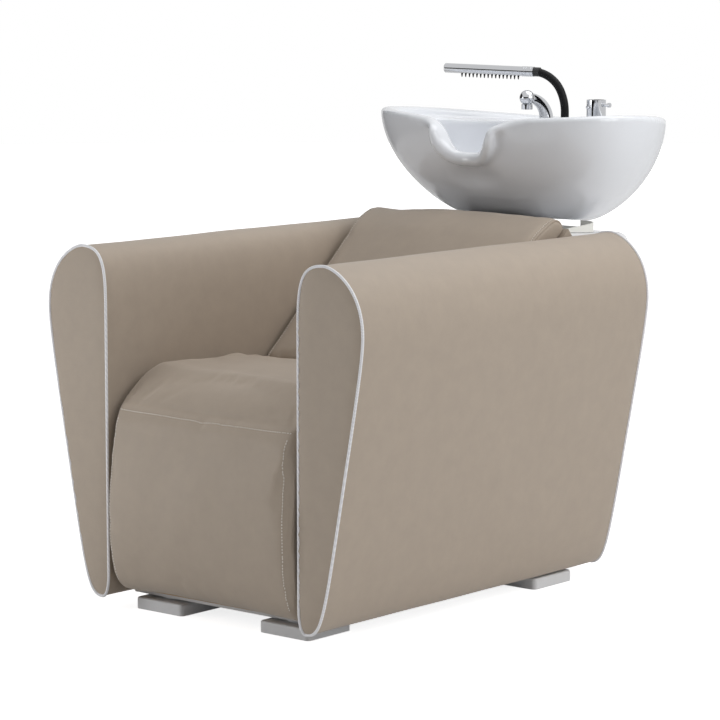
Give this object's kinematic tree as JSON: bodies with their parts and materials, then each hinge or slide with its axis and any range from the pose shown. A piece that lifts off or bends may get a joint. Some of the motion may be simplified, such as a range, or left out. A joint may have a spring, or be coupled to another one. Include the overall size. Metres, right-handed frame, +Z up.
{
  "type": "backwash unit",
  "caption": "Salon backwash chair: padded seat and sloping back between two full-length padded arms, with a tilting ceramic basin, mixer, spout and spray bar on a rear pedestal.",
  "frame": {"origin": "centre of the overall footprint, on the floor under the four feet", "axes": "+X towards the sitter's left-hand arm seen from the front as the right side, +Y from the seat's front back to the basin, +Z up"},
  "size_m": [0.7722, 1.299, 0.9967],
  "materials": {
    "taupe_leather": "satin soft taupe upholstery leather, lightly grained",
    "piping_cord": "twisted white cord",
    "plywood": "plain sanded plywood",
    "dark_steel": "semi-gloss black paint",
    "grey_steel": "satin light grey coat",
    "zinc_steel": "bright zinc plating",
    "foot_plastic": "moulded light grey plastic",
    "white_gloss": "smooth white gloss",
    "cream_sheet": "pale cream coat",
    "glaze": "white glaze",
    "black_plastic": "black plastic",
    "black_rubber": "smooth black rubber",
    "chrome": "polished chrome"
  },
  "bodies": {
    "frame": {"arm_bolts": "zinc_steel", "arm_frame_left": "plywood", "arm_frame_right": "plywood", "arm_front_panel_left": "taupe_leather", "arm_front_panel_right": "taupe_leather", "arm_front_piping_left": "piping_cord", "arm_front_piping_right": "piping_cord", "arm_rear_panel_left": "taupe_leather", "arm_rear_panel_right": "taupe_leather", "arm_rear_piping_left": "piping_cord", "arm_rear_piping_right": "piping_cord", "arm_upholstery_left": "taupe_leather", "arm_upholstery_right": "taupe_leather", "back_board": "plywood", "back_bracket_left": "plywood", "back_bracket_right": "plywood", "back_cushion": "taupe_leather", "back_panel": "plywood", "base_plate": "grey_steel", "collar": "cream_sheet", "foot_front_left": "foot_plastic", "foot_front_right": "foot_plastic", "foot_rear_left": "foot_plastic", "foot_rear_right": "foot_plastic", "foot_screws": "zinc_steel", "rear_cover": "white_gloss", "seat_box": "plywood", "seat_cushion": "taupe_leather", "service_panel": "white_gloss", "service_screws": "zinc_steel", "support_column": "dark_steel", "tilt_bracket": "dark_steel", "tilt_pin": "zinc_steel", "tilt_pin_nuts": "zinc_steel"},
    "basin_unit": {"basin": "glaze", "basin_saddle": "dark_steel", "saddle_bolts": "zinc_steel", "waste_body": "chrome", "waste_nut": "black_plastic", "waste_trap": "black_plastic", "mixer_body": "chrome", "mixer_nut": "black_plastic", "spout_foot": "chrome", "spout_nut": "black_plastic", "hose_bush": "black_plastic", "hose_nut": "black_plastic"},
    "mixer_grip": {"mixer_handle": "chrome", "mixer_cap": "black_plastic", "mixer_lever_pins": "chrome"},
    "spout_arm": {"spout": "chrome"},
    "spout_tip": {"aerator": "chrome"},
    "hose_arm": {"spray_hose": "black_rubber", "hose_ferrule": "black_plastic"},
    "spray_head": {"spray_collar": "chrome", "spray_bar": "chrome", "spray_end_cap": "chrome", "spray_nozzles": "black_rubber"},
    "strainer_lift": {"waste_strainer": "chrome"}
  },
  "joints": [
    {"name": "basin_tilt", "type": "hinge", "parent": "frame", "child": "basin_unit", "pos_m": [0, 0.24995, 0.655], "axis": [1, 0, 0], "range_deg": [-3, 12]},
    {"name": "mixer_turn", "type": "hinge", "parent": "basin_unit", "child": "mixer_grip", "pos_m": [0.064, 0.50195, 0.89774], "axis": [0, 0, 1], "range_deg": [-50, 50]},
    {"name": "spout_swing", "type": "hinge", "parent": "basin_unit", "child": "spout_arm", "pos_m": [-0.064, 0.50195, 0.88774], "axis": [0, 0, 1], "range_deg": [-60, 60]},
    {"name": "spout_tip_tilt", "type": "hinge", "parent": "spout_arm", "child": "spout_tip", "pos_m": [-0.064, 0.43495, 0.92974], "axis": [1, 0, 0], "range_deg": [-15, 8]},
    {"name": "hose_swing", "type": "hinge", "parent": "basin_unit", "child": "hose_arm", "pos_m": [-0.016, 0.50195, 0.88074], "axis": [0, 0, 1], "range_deg": [-60, 60]},
    {"name": "spray_roll", "type": "hinge", "parent": "hose_arm", "child": "spray_head", "pos_m": [-0.08313, 0.48396, 0.98151], "axis": [-0.9656, -0.2587, 0.0262], "range_deg": [-60, 60]},
    {"name": "strainer_lift_out", "type": "slide", "parent": "basin_unit", "child": "strainer_lift", "axis": [0, 0.0975, 0.9952], "range_m": [0, 0.06]}
  ]
}
